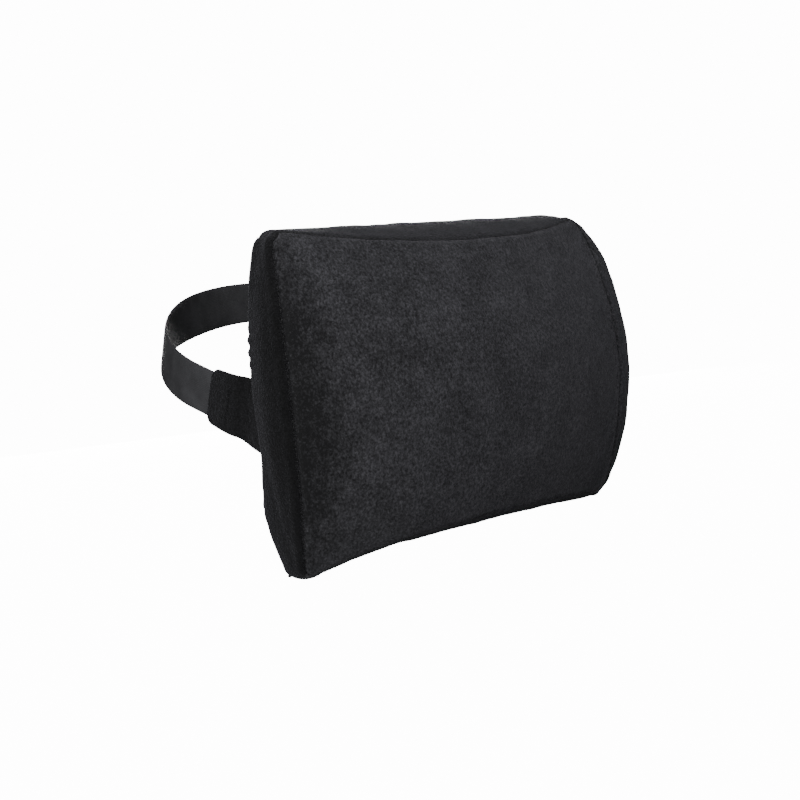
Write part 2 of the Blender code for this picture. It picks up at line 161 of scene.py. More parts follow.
class Nodes:
    """Builds one material: noise, waves, ramps and bumps into a Principled shader."""

    def __init__(self, name):
        self.made = bpy.data.materials.new(name)
        self.made.use_nodes = True
        self.tree = self.made.node_tree
        self.shader = self.tree.nodes["Principled BSDF"]
        self.place = self.tree.nodes.new("ShaderNodeTexCoord").outputs["Object"]

    def link(self, a, b):
        self.tree.links.new(a, b)

    def stretched(self, scale=(1, 1, 1), turn=(0, 0, 0)):
        node = self.tree.nodes.new("ShaderNodeMapping")
        node.inputs["Scale"].default_value = scale
        node.inputs["Rotation"].default_value = turn
        self.link(self.place, node.inputs["Vector"])
        return node.outputs[0]

    def noise(self, scale, detail=2.0, rough=0.5, place=None, distortion=0.0):
        node = self.tree.nodes.new("ShaderNodeTexNoise")
        node.inputs["Scale"].default_value = scale
        node.inputs["Detail"].default_value = detail
        node.inputs["Roughness"].default_value = rough
        node.inputs["Distortion"].default_value = distortion
        self.link(place or self.place, node.inputs["Vector"])
        return node.outputs["Fac"]

    def cells(self, scale, place=None, feature="F1"):
        node = self.tree.nodes.new("ShaderNodeTexVoronoi")
        node.feature = feature
        node.inputs["Scale"].default_value = scale
        self.link(place or self.place, node.inputs["Vector"])
        return node.outputs["Distance"]

    def wave(self, scale, axis="X", distortion=0.0, place=None, detail=0.0, profile="SIN"):
        node = self.tree.nodes.new("ShaderNodeTexWave")
        node.wave_type = "BANDS"
        node.bands_direction = axis
        node.wave_profile = profile
        node.inputs["Scale"].default_value = scale
        node.inputs["Distortion"].default_value = distortion
        node.inputs["Detail"].default_value = detail
        self.link(place or self.place, node.inputs["Vector"])
        return node.outputs["Fac"]

    def math(self, kind, a, b=0.0, clamp=False):
        node = self.tree.nodes.new("ShaderNodeMath")
        node.operation = kind
        node.use_clamp = clamp
        for value, socket in zip((a, b), node.inputs):
            if isinstance(value, (int, float)):
                socket.default_value = value
            else:
                self.link(value, socket)
        return node.outputs[0]

    def ranged(self, value, low, high, to_low=0.0, to_high=1.0):
        node = self.tree.nodes.new("ShaderNodeMapRange")
        node.inputs["From Min"].default_value = low
        node.inputs["From Max"].default_value = high
        node.inputs["To Min"].default_value = to_low
        node.inputs["To Max"].default_value = to_high
        self.link(value, node.inputs["Value"])
        return node.outputs[0]

    def ramp(self, value, stops):
        node = self.tree.nodes.new("ShaderNodeValToRGB")
        band = node.color_ramp
        while len(band.elements) < len(stops):
            band.elements.new(0.5)
        for element, (at, colour) in zip(band.elements, stops):
            element.position = at
            element.color = (*colour, 1.0)
        self.link(value, node.inputs[0])
        return node.outputs[0]

    def bump(self, height, distance, strength=1.0, over=None):
        node = self.tree.nodes.new("ShaderNodeBump")
        node.inputs["Distance"].default_value = distance
        node.inputs["Strength"].default_value = strength
        self.link(height, node.inputs["Height"])
        if over is not None:
            self.link(over, node.inputs["Normal"])
        return node.outputs[0]

    def finish(self, colour=None, roughness=None, normal=None, **values):
        for socket, made in (("Base Color", colour), ("Roughness", roughness), ("Normal", normal)):
            if made is None:
                continue
            if isinstance(made, (int, float)):
                self.shader.inputs[socket].default_value = made
            else:
                self.link(made, self.shader.inputs[socket])
        for key, value in values.items():
            self.shader.inputs[key.replace("_", " ")].default_value = value
        return self.made


def plush(name, shade_factor=1.0, nap=(1.0, 1.0, 0.85), painted_shade_end=None):
    """Short-pile velour: brushed patches, a fine pile grain and a soft sheen. Its colour can be scaled down as painted
    shade for darker copies, and darkened along one end as painted shade.
    """
    n = Nodes(name)
    patches = n.noise(34, 3.0, 0.55, distortion=0.6)
    blots = n.noise(110, 3.0, 0.6, distortion=0.4)
    pile = n.noise(1000, 3.0, 0.65, n.stretched(nap))
    clumps = n.noise(560, 2.0, 0.6, n.stretched(nap))
    tone = n.math("ADD", n.math("MULTIPLY", patches, 0.13), n.math("MULTIPLY", blots, 0.10))
    tone = n.math("ADD", tone, n.math("MULTIPLY", pile, 0.42))
    tone = n.math("ADD", tone, n.math("MULTIPLY", clumps, 0.35))
    if painted_shade_end:  # painted shade: the colour darkens towards one end, with a ragged edge, standing in for the shade along that end
        split = n.tree.nodes.new("ShaderNodeSeparateXYZ")
        n.link(n.tree.nodes.new("ShaderNodeTexCoord").outputs["Object"], split.inputs[0])
        ragged = n.math("ADD", split.outputs[0], n.math("MULTIPLY", n.math("SUBTRACT", blots, 0.5), 0.024))
        ends = n.math("MULTIPLY", n.math("MULTIPLY", split.outputs[2], split.outputs[2]), 1.6)
        ragged = n.math("ADD", ragged, ends)
        tone = n.math("ADD", tone, n.ranged(ragged, painted_shade_end[0], painted_shade_end[1], -0.12, 0.0))
    colour = n.ramp(
        tone,
        [
            (0.39, tuple(c * shade_factor for c in (0.0050, 0.0050, 0.0054))),
            (0.50, tuple(c * shade_factor for c in (0.0190, 0.0190, 0.0210))),
            (0.61, tuple(c * shade_factor for c in (0.0430, 0.0425, 0.0475))),
        ],
    )
    brushed = n.bump(n.noise(60, 2.0, 0.5, distortion=0.8), 0.0016, 0.4)
    tufts = n.bump(clumps, 0.0007, 0.7, brushed)
    fibres = n.bump(pile, 0.0009, 0.85, tufts)
    return n.finish(
        colour,
        n.ranged(pile, 0.3, 0.7, 0.98, 0.80),
        fibres,
        Sheen_Weight=0.07,
        Sheen_Roughness=0.50,
        Sheen_Tint=(0.80, 0.80, 0.90, 1.0),
        Specular_IOR_Level=0.12,
    )


def knit(name):
    """Smooth warp-knit back cloth with fine wales."""
    n = Nodes(name)
    wales = n.wave(260, "X", 0.6, detail=1.0)
    courses = n.wave(330, "Z", 0.8, detail=1.0)
    weave = n.math("ADD", n.math("MULTIPLY", wales, 0.6), n.math("MULTIPLY", courses, 0.4))
    worn = n.noise(42, 3.0, 0.6)
    tone = n.math("ADD", n.math("MULTIPLY", weave, 0.35), n.math("MULTIPLY", worn, 0.65))
    colour = n.ramp(tone, [(0.25, (0.0050, 0.0050, 0.0053)), (0.75, (0.0150, 0.0150, 0.0160))])
    soft = n.bump(n.noise(48, 2.0), 0.0020, 0.4)
    return n.finish(
        colour,
        n.ranged(worn, 0.3, 0.7, 0.62, 0.74),
        n.bump(weave, 0.00030, 0.6, soft),
        Sheen_Weight=0.12,
        Sheen_Roughness=0.5,
        Specular_IOR_Level=0.35,
    )


def elastic(name):
    """Woven elastic: fine ribs along the strap, faint crosswise picks and a satin face."""
    n = Nodes(name)
    along = n.tree.nodes.new("ShaderNodeUVMap")
    along.uv_map = "along"
    split = n.tree.nodes.new("ShaderNodeSeparateXYZ")
    n.link(along.outputs[0], split.inputs[0])
    across, run = split.outputs[0], split.outputs[1]
    ribs = n.math("SINE", n.math("MULTIPLY", across, 2 * math.pi * 26))
    picks = n.math("SINE", n.math("MULTIPLY", run, 2 * math.pi / 0.0011))
    picks = n.math("MULTIPLY", picks, ribs)
    weave = n.math("ADD", n.math("MULTIPLY", ribs, 0.35), n.math("MULTIPLY", picks, 0.40))
    worn = n.noise(70, 3.0, 0.6)
    tone = n.math("ADD", n.math("MULTIPLY", weave, 0.14), worn)
    colour = n.ramp(tone, [(0.25, (0.022, 0.022, 0.0240)), (0.80, (0.038, 0.038, 0.0410))])
    return n.finish(
        colour,
        n.ranged(worn, 0.3, 0.7, 0.60, 0.70),
        n.bump(weave, 0.00012, 0.55),
        Specular_IOR_Level=0.15,
    )


def foam(name):
    n = Nodes(name)
    holes = n.cells(520)
    tone = n.math("ADD", n.math("MULTIPLY", holes, 0.6), n.math("MULTIPLY", n.noise(60, 3.0), 0.5))
    colour = n.ramp(tone, [(0.2, (0.52, 0.45, 0.28)), (0.8, (0.78, 0.72, 0.55))])
    return n.finish(colour, 0.92, n.bump(holes, 0.0008, 0.7), Specular_IOR_Level=0.2)


def tape(name):
    n = Nodes(name)
    twill = n.wave(520, "DIAGONAL", 0.3)
    colour = n.ramp(
        n.math("ADD", n.math("MULTIPLY", twill, 0.5), n.math("MULTIPLY", n.noise(180), 0.5)),
        [(0.25, (0.006, 0.006, 0.007)), (0.8, (0.022, 0.022, 0.024))],
    )
    return n.finish(colour, 0.8, n.bump(twill, 0.0002, 0.7), Specular_IOR_Level=0.25)


def nylon(name, colour=(0.016, 0.016, 0.017), roughness=0.34):
    n = Nodes(name)
    tone = n.noise(400, 2.0)
    made = n.ramp(tone, [(0.3, tuple(c * 0.7 for c in colour)), (0.7, tuple(c * 1.3 for c in colour))])
    return n.finish(made, n.ranged(tone, 0.3, 0.7, roughness, roughness + 0.14), n.bump(tone, 0.00008, 0.4))


def metal(name):
    n = Nodes(name)
    wear = n.noise(260, 4.0, 0.7)
    colour = n.ramp(wear, [(0.35, (0.045, 0.045, 0.050)), (0.72, (0.105, 0.105, 0.112))])
    return n.finish(colour, n.ranged(wear, 0.3, 0.7, 0.28, 0.46), n.bump(wear, 0.00005, 0.5), Metallic=0.92)


def woven_label(name):
    n = Nodes(name)
    weave = n.math("ADD", n.wave(900, "X", 0.2), n.wave(900, "Z", 0.2))
    colour = n.ramp(n.math("MULTIPLY", weave, 0.5), [(0.2, (0.62, 0.62, 0.60)), (0.8, (0.84, 0.84, 0.81))])
    return n.finish(colour, 0.7, n.bump(weave, 0.0001, 0.7))


def thread(name):
    n = Nodes(name)
    twist = n.wave(1500, "DIAGONAL", 0.4)
    colour = n.ramp(twist, [(0.2, (0.004, 0.004, 0.004)), (0.8, (0.014, 0.014, 0.015))])
    return n.finish(colour, 0.6, n.bump(twist, 0.0001, 0.6), Specular_IOR_Level=0.3)


# the front's plush, with painted shade darkening its left end
PLUSH = plush("plush_front", painted_shade_end=(-0.147, -0.116))
# painted shade: the top gusset's plush is the front's, darkened to stand in for how the light falls on it
PLUSH_TOP_SHADED = plush("plush_top_painted_shade", 0.26)
# painted shade: the left gusset's plush is the front's, darkened for the shade on that end
PLUSH_SIDE_SHADED = plush("plush_side_painted_shade", 0.11, (0.9, 1.0, 1.0))
# painted shade: the tabs' plush is the front's, darkened for the shade they sit in
PLUSH_TAB_SHADED = plush("plush_tab_painted_shade", 0.15, (1.0, 0.85, 1.0))
KNIT = knit("back_knit")
ELASTIC = elastic("strap_elastic")
FOAM = foam("memory_foam")
TAPE = tape("zip_tape")
NYLON = nylon("zip_nylon")
HOOK = nylon("hook_nylon", (0.011, 0.011, 0.012), 0.5)
METAL = metal("zip_metal")
LABEL = woven_label("label_cloth")
THREAD = thread("sewing_thread")


# The cushion's form


def end_half(w):
    return END_HALF - END_BOW * w * w


def crown_across(u):
    return 1 - np.abs(u) ** CROWN_POWER


def front_depth(u, w):
    at_end = BOTTOM_CORNER_DEPTH + (TOP_CORNER_DEPTH - BOTTOM_CORNER_DEPTH) * (w + 1) / 2
    return at_end + (SEAM_REACH - at_end) * crown_across(u) + CROWN * (1 - w * w)


def seam_heights(u):
    """Heights of the front panel's lower and upper seams."""
    over = crown_across(u)
    return -HALF_HEIGHT + BOTTOM_SEAM_RISE * over, HALF_HEIGHT - TOP_SEAM_DROP * over


def front_y(x, z):
    """Depth of the front panel over a point of the X-Z plane."""
    w = np.clip(z / HALF_HEIGHT, -1, 1)
    for _ in range(6):
        u = np.clip(x / end_half(w), -1, 1)
        low, high = seam_heights(u)
        w = np.clip((z - (low + high) / 2) / ((high - low) / 2), -1, 1)
    return -front_depth(u, w)


def rounded_loop(corner_points, sides, radii):
    """Four open sides that meet in the middle of rounded corners, each as evenly spaced points.
    sides(k, t) gives side k from corner k to corner k + 1; radii are at the corners."""
    counts = (NU, NV, NU, NV)
    dense = np.linspace(0, 1, 400)
    runs, bends = [], []
    for k in range(4):
        line = np.array([sides(k, t) for t in dense])
        length = np.concatenate([[0], np.cumsum(np.linalg.norm(np.diff(line, axis=0), axis=1))])
        keep = (length > radii[k]) & (length < length[-1] - radii[(k + 1) % 4])
        runs.append(line[keep])
    for k in range(4):
        before, after, corner = runs[k - 1][-1], runs[k][0], corner_points[k]
        a, b = before + 0.5523 * (corner - before), after + 0.5523 * (corner - after)
        t = np.linspace(0, 1, 41)[:, None]
        bends.append((1 - t) ** 3 * before + 3 * (1 - t) ** 2 * t * a + 3 * (1 - t) * t * t * b + t ** 3 * after)
    made = []
    for k in range(4):
        line = np.concatenate([bends[k][20:-1], runs[k], bends[(k + 1) % 4][1:21]])
        length = np.concatenate([[0], np.cumsum(np.linalg.norm(np.diff(line, axis=0), axis=1))])
        at = crowded(counts[k]) * length[-1]
        made.append(np.stack([np.interp(at, length, line[:, i]) for i in range(3)], axis=1))
    return made


def crowded(count):
    """From 0 to 1 in count steps, closer together near both ends, where the seams are."""
    t = np.linspace(0, 1, count + 1)
    return t - 0.09 * np.sin(2 * math.pi * t) / 1.0 * 0.9


def coons(sides):
    """A grid [across][up] inside four sides: top left to right, right downwards, bottom right to
    left, left upwards."""
    top, right, bottom, left = sides[0], sides[1][::-1], sides[2][::-1], sides[3]
    s = crowded(NU)[:, None, None]
    t = crowded(NV)[None, :, None]
    across = (1 - t) * bottom[:, None] + t * top[:, None]
    up = (1 - s) * left[None] + s * right[None]
    corners = (
        (1 - s) * (1 - t) * bottom[0]
        + s * (1 - t) * bottom[-1]
        + (1 - s) * t * top[0]
        + s * t * top[-1]
    )
    return across + up - corners


def wrap_right(grid):
    """Moves the columns of the front's grid along their rows, so that the right seam bows inwards."""
    share = crowded(NU)
    seam = share[NU - RIGHT_WRAP]
    made = grid.copy()
    for j in range(grid.shape[1]):
        w = 2 * j / (grid.shape[1] - 1) - 1
        here = seam + (WRAP_MIDDLE - seam) * max(0.0, 1 - (w / 0.85) ** 2)
        at = np.where(share <= seam, share * here / seam, 1 - (1 - share) * (1 - here) / (1 - seam))
        for axis in range(3):
            made[:, j, axis] = np.interp(at, share, grid[:, j, axis])
    return made


def front_side(k, t):
    u, w = ((2 * t - 1, 1), (1, 1 - 2 * t), (1 - 2 * t, -1), (-1, 2 * t - 1))[k]
    low, high = seam_heights(u)
    x, z = u * end_half(w), (low + high) / 2 + w * (high - low) / 2
    return np.array([x, -front_depth(u, w), z])


def back_side(k, t):
    u, w = ((2 * t - 1, 1), (1, 1 - 2 * t), (1 - 2 * t, -1), (-1, 2 * t - 1))[k]
    low = -HALF_HEIGHT + BOTTOM_ARCH * crown_across(u)
    return np.array([u * end_half(w), 0.0, (low + HALF_HEIGHT) / 2 + w * (HALF_HEIGHT - low) / 2])


def cushion_form(corner_front, corner_back):
    """The closed form as points, quads and one panel number per quad:
    0 front, 1 to 4 gussets (top, right, bottom, left), 5 back."""
    front = rounded_loop([front_side(k, 0) for k in range(4)], front_side, corner_front)
    for side in front:
        side[:, 1] = front_y(side[:, 0], side[:, 2])
    back = rounded_loop([back_side(k, 0) for k in range(4)], back_side, corner_back)
    grid = wrap_right(coons(front))
    grid[:, :, 1] = front_y(grid[:, :, 0], grid[:, :, 2])
    back_grid = coons(back)
    points, faces, ids = [], [], []

    def add(patch, panel, flip):
        start, (a, b) = sum(len(p) for p in points), patch.shape[:2]
        points.append(patch.reshape(-1, 3))
        for i in range(a - 1):
            for j in range(b - 1):
                quad = [start + i * b + j, start + (i + 1) * b + j, start + (i + 1) * b + j + 1, start + i * b + j + 1]
                faces.append(quad[::-1] if flip else quad)
                wrapped = panel == 0 and i >= a - 1 - RIGHT_WRAP
                ids.append(2 if wrapped else panel)

    add(grid, 0, False)
    add(back_grid, 5, True)
    for k in range(4):
        g = crowded(NG)[None, :, None]
        b, f = back[k][:, None], front[k][:, None]
        patch = b + (f - b) * g ** GUSSET_ROLL
        patch[:, :, 1] = (b + (f - b) * g)[:, :, 1]
        if k in (1, 3):
            w = back[k][:, None, 2] / HALF_HEIGHT
            share = crowded(NV)[:, None]
            puff = END_PUFF * 4 * g[:, :, 0] * (1 - g[:, :, 0]) * np.clip(1 - w * w, 0, 1)
            puff *= np.clip(9 * np.minimum(share, 1 - share), 0, 1)  # none where two gussets meet
            patch[:, :, 0] += puff if k == 1 else -puff
        add(patch, k + 1, False)
    return np.concatenate(points), faces, ids


def sewn_form():
    """The cushion's cover as one closed mesh, filled by a cloth simulation."""
    points, faces, ids = cushion_form(FRONT_CORNERS, BACK_CORNERS)
    cover = mesh_object("cover_form", points, faces, (PLUSH,) * 6, ids)
    form = bmesh.new()
    form.from_mesh(cover.data)
    bmesh.ops.remove_doubles(form, verts=form.verts, dist=1e-5)
    bmesh.ops.recalc_face_normals(form, faces=form.faces)
    smooth_edges(form, 3)
    for vert in form.verts:
        vert.co += vert.normal * SWELL
    form.to_mesh(cover.data)
    form.free()
    return cover


def smooth_edges(form, rounds):
    """Rounds the edges between the panels, and leaves the panels' middles alone."""
    form.verts.ensure_lookup_table()
    on_seam = np.array([len({f.material_index for f in v.link_faces}) > 1 for v in form.verts], float)
    ties = [[e.other_vert(v).index for e in v.link_edges] for v in form.verts]
    weight = on_seam
    for _ in range(3):
        weight = np.maximum(weight, np.array([0.78 * max(weight[t] for t in tie) for tie in ties]))
    place = np.array([v.co for v in form.verts])
    for _ in range(rounds):
        mean = np.array([place[tie].mean(axis=0) for tie in ties])
        place += (mean - place) * (0.55 * weight)[:, None]
    for vert, co in zip(form.verts, place):
        vert.co = co


def simulate(cover):
    """Fills the cover: the panels swell between their seams, which are held."""
    mesh = cover.data
    mesh.calc_loop_triangles()
    panels = [set() for _ in mesh.vertices]
    for face in mesh.polygons:
        for i in face.vertices:
            panels[i].add(face.material_index)
    seams = cover.vertex_groups.new(name="seams")
    for i, found in enumerate(panels):
        held = 1.0 if len(found) > 1 else (0.75 if 5 in found else 0.0)
        seams.add([i], held, "REPLACE")
    start = points_of(cover)
    modifier = cover.modifiers.new("fill", "CLOTH")
    cloth = modifier.settings
    cloth.quality = 5
    cloth.mass = 0.2
    cloth.tension_stiffness = cloth.compression_stiffness = 12
    cloth.shear_stiffness = 6
    cloth.bending_stiffness = 0.4
    cloth.use_pressure = True
    cloth.uniform_pressure_force = 4.0
    cloth.effector_weights.gravity = 0.0
    cloth.vertex_group_mass = "seams"
    cloth.pin_stiffness = 1.0
    modifier.collision_settings.use_collision = False
    modifier.point_cache.frame_start, modifier.point_cache.frame_end = 1, 20
    for step in range(1, 21):
        bpy.context.scene.frame_set(step)
    graph = bpy.context.evaluated_depsgraph_get()
    filled = bpy.data.meshes.new_from_object(cover.evaluated_get(graph), depsgraph=graph)
    end = np.array([v.co for v in filled.vertices], float)
    bpy.data.meshes.remove(filled)
    cover.modifiers.clear()
    bpy.context.scene.frame_set(1)
    moved = end - start
    far = np.linalg.norm(moved, axis=1)[:, None]
    put_points(cover, start + moved * PUFF_CAP * np.tanh(far / PUFF_CAP) / np.maximum(far, 1e-9))


def panels_at(cover):
    """For each point, the panels that meet there."""
    found = [set() for _ in cover.data.vertices]
    for face in cover.data.polygons:
        for i in face.vertices:
            found[i].add(face.material_index)
    return found


def distance_to(points, line):
    """Distance from each point to the nearest point of a line."""
    tree = kdtree.KDTree(len(line))
    for i, place in enumerate(line):
        tree.insert(place, i)
    tree.balance()
    return np.array([tree.find(p)[2] for p in points])


def bell(x, width):
    return np.exp(-((x / width) ** 2))


def dress(cover):
    """After the filling: sewn grooves, soft lumps of the pile, puckers and the loose ends of the zip."""
    subdivide(cover, 2)
    mesh = cover.data
    places = points_of(cover)
    normals = np.array([v.normal for v in mesh.vertices], float)
    found = panels_at(cover)
    x, y, z = places.T
    kinds = {
        "pile": [{0, 1}],
        "low": [{0, 3}],
        "end": [{0, 4}],
        "wrap": [{0, 2}],
        "corner": [{1, 2}, {2, 3}, {3, 4}, {1, 4}],
        "back": [{5, 1}, {5, 2}, {5, 3}, {5, 4}],
    }
    out = np.zeros(len(places))
    for kind, pairs in kinds.items():
        line = places[[any(pair <= f for pair in pairs) for f in found]]
        off = distance_to(places, line)
        depth = SEAM_DEPTHS[kind]
        out -= depth * bell(off, SEAM_HALF_WIDTH)
        ridge = 0.55 if kind == "wrap" else 0.3
        out += ridge * depth * bell(off - 2.2 * SEAM_HALF_WIDTH, 1.3 * SEAM_HALF_WIDTH)
    lumps = np.array([noise.noise(p * 38) * 0.9 + noise.noise(p * 105) * 0.45 for p in map(Vector, places)])
    on_back = np.array([f == {5} for f in found])
    out += 0.0007 * lumps * np.where(on_back, 0.5, 1.0)

    # Gathers where the strap and tab are sewn into the back seam, and along the lower edge.
    at_side = bell(y, 0.009) * bell(np.abs(x) - END_HALF, 0.020)
    out += 0.0008 * at_side * bell(z - 0.033, 0.011) * np.sin(2 * math.pi * z / 0.0070)
    low = bell(z + HALF_HEIGHT, 0.016) * np.clip(-y / 0.02, 0, 1)
    out += 0.0005 * low * bell(x - 0.01, 0.035) * np.sin(2 * math.pi * x / 0.0090)
    places += normals * out[:, None]

    # The knit stands out past both ends of the zip's opening, most at the height of the zip.
    z = places[:, 2]
    above = np.clip(1 - (z - ZIP_HEIGHT) / TENT_ABOVE, 0, 1)
    below = np.clip(1 + (z - ZIP_HEIGHT) / TENT_BELOW, 0, 1)
    reach = np.where(z > ZIP_HEIGHT, above, below)
    edge = END_HALF - END_BOW * (z / HALF_HEIGHT) ** 2
    inward = np.clip(edge - np.abs(x), 0, None)
    tent = TENT * reach * bell(inward - 0.001, TENT_INWARD)
    near_back = np.clip(1 + (y + 0.001) / 0.005, 0, 1)
    places[:, 1] += tent * near_back ** 1.5
    places[:, 0] += np.sign(x) * 0.10 * tent * near_back
    corner = bell(places[:, 0] + END_HALF - END_BOW, 0.032) * bell(places[:, 2] + HALF_HEIGHT, 0.026)
    places[:, 2] -= EAR * corner
    places[:, 0] -= 0.35 * EAR * corner
    put_points(cover, places)
    return found


def cut_panel(cover, panel, name, finish, shrink=0.00008, flange=0.0016, keep=None):
    """One panel of the cover as its own piece, its edges turned in as seam allowances."""
    mesh = cover.data
    faces = [f for f in mesh.polygons if f.material_index == panel]
    if keep is not None:
        faces = [f for f in faces if keep(f.center)]
    used = sorted({i for f in faces for i in f.vertices})
    number = {i: k for k, i in enumerate(used)}
    points = [mesh.vertices[i].co.copy() for i in used]
    normals = [mesh.vertices[i].normal.copy() for i in used]
    quads = [[number[i] for i in f.vertices] for f in faces]
    sides = {}
    for quad in quads:
        for a, b in zip(quad, quad[1:] + quad[:1]):
            if (b, a) in sides:
                del sides[(b, a)]
            else:
                sides[(a, b)] = True
    turned = {}
    for a, b in sides:
        for i in (a, b):
            if i not in turned:
                turned[i] = len(points)
                points.append(points[i] - normals[i] * flange)
    for a, b in sides:
        quads.append([b, a, turned[a], turned[b]])
    made = mesh_object(name, points, quads, (finish,))
    return made


def seam_lines(cover, found, a, b):
    """Runs of points along the seam between two panels, in order."""
    mesh = cover.data
    shared = {i for i, f in enumerate(found) if a in f and b in f}
    ties = {i: [] for i in shared}
    for edge in mesh.edges:
        i, k = edge.vertices
        if i in shared and k in shared:
            ties[i].append(k)
            ties[k].append(i)
    ends = [i for i in shared if len(ties[i]) == 1]
    if not ends:
        return []
    line, last = [ends[0]], None
    while True:
        following = [k for k in ties[line[-1]] if k != last]
        if not following or len(line) > len(shared):
            break
        last = line[-1]
        line.append(following[0])
    return line


def along_line(places, step, start=0.0):
    """Evenly spaced places and directions along a line."""
    length = np.concatenate([[0], np.cumsum(np.linalg.norm(np.diff(places, axis=0), axis=1))])
    at = np.arange(start, length[-1] - 1e-9, step)
    spots = np.stack([np.interp(at, length, places[:, i]) for i in range(places.shape[1])], axis=1)
    return spots, at / length[-1]


def capsule_rings(rounds=8, steps=5):
    """A unit capsule along X as points and faces."""
    points, faces = [], []
    for i in range(steps + 1):
        t = i / steps * 2 - 1
        r = math.sqrt(max(0.06, 1 - abs(t) ** 4))
        for k in range(rounds):
            a = 2 * math.pi * k / rounds
            points.append((t, r * math.cos(a), r * math.sin(a)))
    for i in range(steps):
        for k in range(rounds):
            m = (k + 1) % rounds
            faces.append((i * rounds + k, i * rounds + m, (i + 1) * rounds + m, (i + 1) * rounds + k))
    faces.append(tuple(range(rounds))[::-1])
    faces.append(tuple(steps * rounds + k for k in range(rounds)))
    return np.array(points), faces


def stitches(name, runs, length, radius, sink, finish):
    """Sewn stitches along runs of (places, normals): one capsule of thread each."""
    unit, shape = capsule_rings()
    points, faces = [], []
    for places, normals, step in runs:
        both = np.concatenate([places, normals], axis=1)
        spots, _ = along_line_many(both, step)
        for here, there in zip(spots[:-1], spots[1:]):
            run = there[:3] - here[:3]
            size = np.linalg.norm(run)
            if size < 1e-6:
                continue
            ahead = run / size
            up = here[3:] / max(np.linalg.norm(here[3:]), 1e-9)
            across = np.cross(up, ahead)
            across /= max(np.linalg.norm(across), 1e-9)
            up = np.cross(ahead, across)
            middle = (here[:3] + there[:3]) / 2 - up * sink
            base = len(points)
            for px, py, pz in unit:
                points.append(middle + ahead * px * length / 2 + across * py * radius + up * pz * radius)
            faces += [tuple(base + i for i in face) for face in shape]
    return mesh_object(name, points, faces, (finish,))


def along_line_many(both, step):
    length = np.concatenate([[0], np.cumsum(np.linalg.norm(np.diff(both[:, :3], axis=0), axis=1))])
    at = np.arange(0, length[-1], step)
    return np.stack([np.interp(at, length, both[:, i]) for i in range(both.shape[1])], axis=1), at


def pile_tufts(name, runs, count, reach, tall, finish):
    """Short tufts of pile standing over a seam, in a rough zig-zag to either side of it."""
    points, faces = [], []
    for places, normals, side in runs:
        both = np.concatenate([places, normals], axis=1)
        total = np.linalg.norm(np.diff(places, axis=0), axis=1).sum()
        number = int(count * total)
        length = np.concatenate([[0], np.cumsum(np.linalg.norm(np.diff(places, axis=0), axis=1))])
        at = np.sort(random.uniform(0, total, number))
        spots = np.stack([np.interp(at, length, both[:, i]) for i in range(6)], axis=1)
        gradient = np.gradient(places, axis=0)
        ahead_all = np.stack([np.interp(at, length, gradient[:, i]) for i in range(3)], axis=1)
        for spot, ahead in zip(spots, ahead_all):
            up = spot[3:] / max(np.linalg.norm(spot[3:]), 1e-9)
            ahead = ahead / max(np.linalg.norm(ahead), 1e-9)
            across = np.cross(up, ahead) * side
            lean = random.normal(0.9, 0.55)
            root = spot[:3] + across * random.normal(0, reach) - up * 0.0006
            turn = random.normal(0, 0.6)
            tall_here = tall * random.uniform(0.6, 1.25)
            tip = root + (up * 0.75 + across * lean * 0.6 + ahead * turn) * tall_here
            mid = root + (up * 0.62 + across * lean * 0.12 + ahead * turn * 0.4) * tall_here * 0.6
            flat = (ahead * 0.8 + across * random.normal(0, 0.5)) * random.uniform(0.00016, 0.00030)
            base = len(points)
            points += [root - flat, root + flat, mid + flat * 0.9, mid - flat * 0.9, tip]
            faces += [(base, base + 1, base + 2, base + 3), (base + 3, base + 2, base + 4)]
    return mesh_object(name, points, faces, (finish,))


# Zip


def opening(x):
    """From 0 outside the zip's opening to 1 inside it."""
    return np.clip((ZIP_HALF + 0.002 - np.abs(x)) / 0.006, 0, 1) ** 0.7


def part_back(piece, side):
    """Draws a back panel's edge away from the zip and folds it over as a hem."""
    places = points_of(piece)
    x, z = places[:, 0], places[:, 2]
    off = side * (z - ZIP_HEIGHT)
    wide, room = ZIP_SLOT / 2 * opening(x), 0.018
    near = off < room
    share = np.clip(off / room, 0, 1)
    places[:, 2] = np.where(near, ZIP_HEIGHT + side * (wide + share * (room - wide)), z)
    past = np.clip(1 - (side * (places[:, 2] - ZIP_HEIGHT) - wide) / 0.0022, 0, 1)
    places[:, 1] -= 0.0013 * past ** 2
    ridge = bell(side * (places[:, 2] - ZIP_HEIGHT) - wide - 0.0035, 0.0016)
    places[:, 1] += 0.00045 * ridge
    put_points(piece, places)


def split_back(cover):
    """Cuts the back panel in two along the zip."""
    form = bmesh.new()
    form.from_mesh(cover.data)
    back = [f for f in form.faces if f.material_index == 5]
    edges = list({e for f in back for e in f.edges})
    verts = list({v for f in back for v in f.verts})
    bmesh.ops.bisect_plane(
        form, geom=verts + edges + back, plane_co=(0, 0, ZIP_HEIGHT), plane_no=(0, 0, 1), dist=1e-5
    )
    form.to_mesh(cover.data)
    form.free()


def zip_teeth(name, side):
    """One side of a nylon coil: a tooth at each turn, leaning and bulged where it meets its partner."""
    unit, shape = capsule_rings(8, 6)
    low, high = -ZIP_HALF + 0.004, ZIP_HALF - 0.011
    middle_y = TAPE_FACE + 0.0003 + COIL_THICK / 2
    points, faces = [], []
    count = int((high - low) / TOOTH_PITCH)
    for i in range(count):
        x = low + (i + (0.5 if side > 0 else 0.0)) * TOOTH_PITCH
        centre = np.array([x, middle_y, ZIP_HEIGHT + side * (COIL_WIDTH / 2 + 0.00002)])
        lean = 0.14 * side
        base = len(points)
        for px, py, pz in unit:
            bulge = 1 + 0.35 * max(0.0, -px * 1.0) ** 2
            points.append(
                centre
                + np.array(
                    [
                        py * TOOTH_PITCH * 0.36 * bulge + px * lean * COIL_WIDTH / 2,
                        pz * COIL_THICK / 2 * 0.92,
                        side * px * COIL_WIDTH / 2,
                    ]
                )
            )
        faces += [tuple(base + k for k in face) for face in shape]
    return mesh_object(name, points, faces, (NYLON,))


